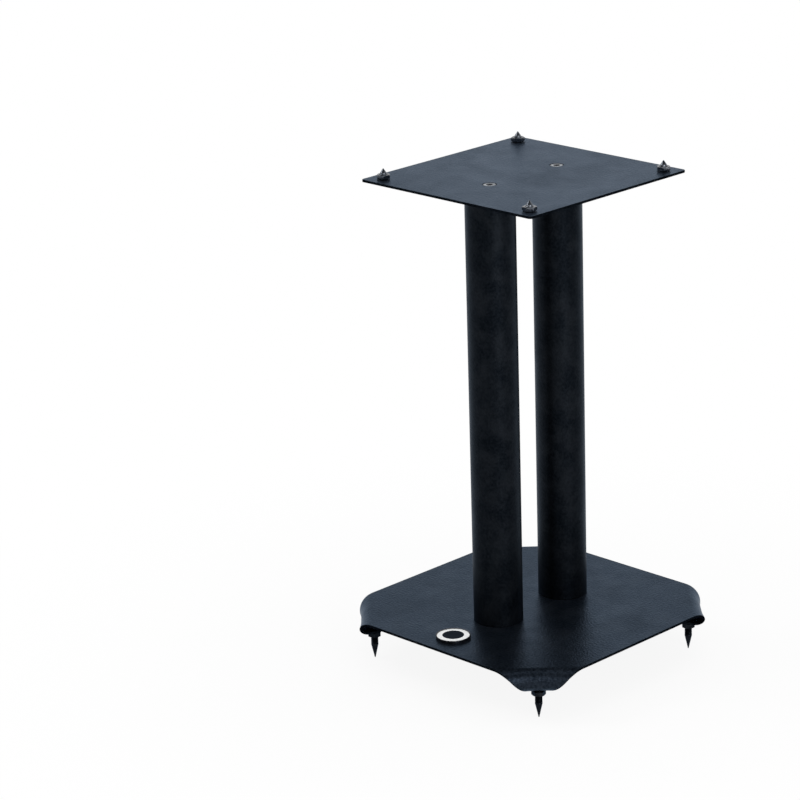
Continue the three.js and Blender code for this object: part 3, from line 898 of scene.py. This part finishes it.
for corner, (x, y) in CORNERS.items():
    turn = math.atan2(y, x)
    top = (x * TOP_SPIKE_OFFSET, y * TOP_SPIKE_OFFSET)
    floor = (x * FLOOR_SPIKE_OFFSET, y * FLOOR_SPIKE_OFFSET)
    floor_nut_bottom = FLAP_UNDERSIDE - SEAT_GAP - FLOOR_NUT_HEIGHT
    make_piece(
        f"top_cone_{corner}", top_spike_mesh(), f"top_spike_{corner}",
        [BLACK_NICKEL], [f"top_spike_{corner}"], place=top,
    )
    make_piece(
        f"top_locknut_{corner}", nut_mesh(TOP_NUT_BOTTOM, TOP_NUT_HEIGHT), f"top_nut_{corner}",
        [BLACK_NICKEL], [f"top_nut_{corner}"], place=top, turn=turn, sharp=25.0,
    )
    # the floor spike and nut carry the plating darkened as painted shade
    make_piece(
        f"floor_cone_{corner}", floor_spike_mesh(), f"floor_spike_{corner}",
        [FOOT_SHADED_PLATE], [f"floor_spike_{corner}"], place=floor,
    )
    make_piece(
        f"floor_locknut_{corner}", nut_mesh(floor_nut_bottom, FLOOR_NUT_HEIGHT),
        f"floor_nut_{corner}", [FOOT_SHADED_PLATE], [f"floor_nut_{corner}"],
        place=floor, turn=turn, sharp=25.0,
    )

make_piece(
    "badge_disc", badge_mesh(), "frame", [BADGE_RIM, BADGE_WHITE, BADGE_DARK], ["badge"],
    place=(0, BADGE_Y),
)

# ---- floor, light and camera --------------------------------------------------------------------

FLOOR_GLOW = 0.90  # how much of the floor round the stand shows plain white, the rest shows shadow
BACKDROP_TOP = 0.45  # rise of a direction at which the white backdrop starts to darken
CEILING_START = 0.75
CEILING_LIGHT = 0.25
EVEN_LIGHT = 0.62  # on the stand, from all round

CAMERA_FOCAL_PIXELS = 3151.26  # in an image 800 pixels wide
CAMERA_PLACE = Vector((1.608917, -1.733640, 1.006270))
CAMERA_ROWS = (
    (0.70992803, 0.70367103, -0.0291423),  # right
    (0.20280274, -0.24388219, -0.94836308),  # down
    (-0.67444291, 0.66735939, -0.31584521),  # forward
)


def seen_directly(tree):
    """1 for a ray from the camera, a reflection or a view through glass, 0 for one that lights."""
    path = add(tree, "ShaderNodeLightPath")
    seen = add(tree, "ShaderNodeMath", {
        0: path.outputs["Is Camera Ray"], 1: path.outputs["Is Glossy Ray"],
    }, operation="MAXIMUM")
    return add(tree, "ShaderNodeMath", {
        0: seen.outputs[0], 1: path.outputs["Is Transmission Ray"],
    }, operation="MAXIMUM").outputs[0]


def floor_material():
    """Pale studio floor: it shows white with the stand's soft shadow, and lights as plain paper."""
    material, tree, paper = new_material("pale studio floor", Roughness=0.9, Specular_IOR_Level=0.0)
    place = add(tree, "ShaderNodeTexCoord").outputs["Object"]
    fibres = add(tree, "ShaderNodeTexNoise", {"Vector": place, "Scale": 90.0, "Detail": 3.0})
    colour = blend_colours(tree, fibres.outputs["Fac"], (0.84, 0.84, 0.84), (0.88, 0.88, 0.88))
    tree.links.new(colour, paper.inputs["Base Color"])
    white = add(tree, "ShaderNodeEmission", {"Color": (1, 1, 1, 1), "Strength": 1.0})
    distance = add(tree, "ShaderNodeVectorMath", {0: place}, operation="LENGTH")
    glow = add(tree, "ShaderNodeMapRange", {
        "Value": distance.outputs["Value"], "From Min": 0.10, "From Max": 0.55,
        "To Min": FLOOR_GLOW, "To Max": 1.0,
    }, interpolation_type="SMOOTHSTEP")
    share = add(tree, "ShaderNodeMath", {
        0: seen_directly(tree), 1: glow.outputs["Result"],
    }, operation="MULTIPLY")
    mix = add(tree, "ShaderNodeMixShader", {
        0: share.outputs[0], 1: paper.outputs[0], 2: white.outputs[0],
    })
    tree.links.new(mix.outputs[0], tree.nodes["Material Output"].inputs["Surface"])
    return material


def make_floor():
    bm = bmesh.new()
    bmesh.ops.create_circle(bm, cap_ends=True, radius=4.0, segments=96)
    mesh = bpy.data.meshes.new("studio_floor")
    bm.to_mesh(mesh)
    bm.free()
    mesh.materials.append(floor_material())
    floor = bpy.data.objects.new("studio_floor", mesh)
    bpy.context.scene.collection.objects.link(floor)


def make_world(light):
    """A white backdrop under a darker ceiling where it is seen, and a plain even light on the stand."""
    world = bpy.data.worlds.new("studio")
    world.use_nodes = True
    tree = world.node_tree
    tree.nodes.clear()
    direction = add(tree, "ShaderNodeTexCoord").outputs["Generated"]
    rise = add(tree, "ShaderNodeSeparateXYZ", {"Vector": direction}).outputs["Z"]
    backdrop = add(tree, "ShaderNodeMapRange", {
        "Value": rise, "From Min": BACKDROP_TOP, "From Max": CEILING_START,
        "To Min": 1.0, "To Max": CEILING_LIGHT,
    }, interpolation_type="SMOOTHSTEP")
    even = add(tree, "ShaderNodeBackground", {"Color": (1, 1, 1, 1), "Strength": light})
    shown = add(tree, "ShaderNodeBackground", {
        "Color": (1, 1, 1, 1), "Strength": backdrop.outputs["Result"],
    })
    mix = add(tree, "ShaderNodeMixShader", {
        0: seen_directly(tree), 1: even.outputs[0], 2: shown.outputs[0],
    })
    out = add(tree, "ShaderNodeOutputWorld")
    tree.links.new(mix.outputs[0], out.inputs["Surface"])
    bpy.context.scene.world = world


def make_softbox(name, place, target, width, height, watts):
    lamp = bpy.data.lights.new(name, "AREA")
    lamp.shape = "RECTANGLE"
    lamp.size, lamp.size_y = width, height
    lamp.energy = watts
    box = bpy.data.objects.new(name, lamp)
    box.location = place
    box.rotation_euler = (Vector(target) - Vector(place)).to_track_quat("-Z", "Y").to_euler()
    bpy.context.scene.collection.objects.link(box)


def make_camera():
    camera = bpy.data.objects.new("camera", bpy.data.cameras.new("camera"))
    camera.data.sensor_width = 36.0
    camera.data.lens = 36.0 * CAMERA_FOCAL_PIXELS / 800
    camera.data.clip_start, camera.data.clip_end = 0.1, 50.0
    right, down, forward = (Vector(row) for row in CAMERA_ROWS)
    facing = Matrix((right, -down, -forward)).transposed()
    camera.matrix_world = Matrix.Translation(CAMERA_PLACE) @ facing.to_4x4()
    bpy.context.scene.collection.objects.link(camera)
    bpy.context.scene.camera = camera


make_floor()
make_world(EVEN_LIGHT)
make_softbox("overhead softbox", (0.2, 0.3, 1.9), (0, 0, 0.2), 1.4, 1.4, 7.0)
make_softbox("left softbox", (-1.0, -0.7, 1.33), (0, 0, 0.3), 0.5, 0.6, 6.0)
make_softbox("right softbox", (1.51, -0.52, 0.5), (0, 0, 0.3), 0.9, 1.3, 12.0)
make_camera()

scene = bpy.context.scene
scene.view_settings.view_transform = "Standard"
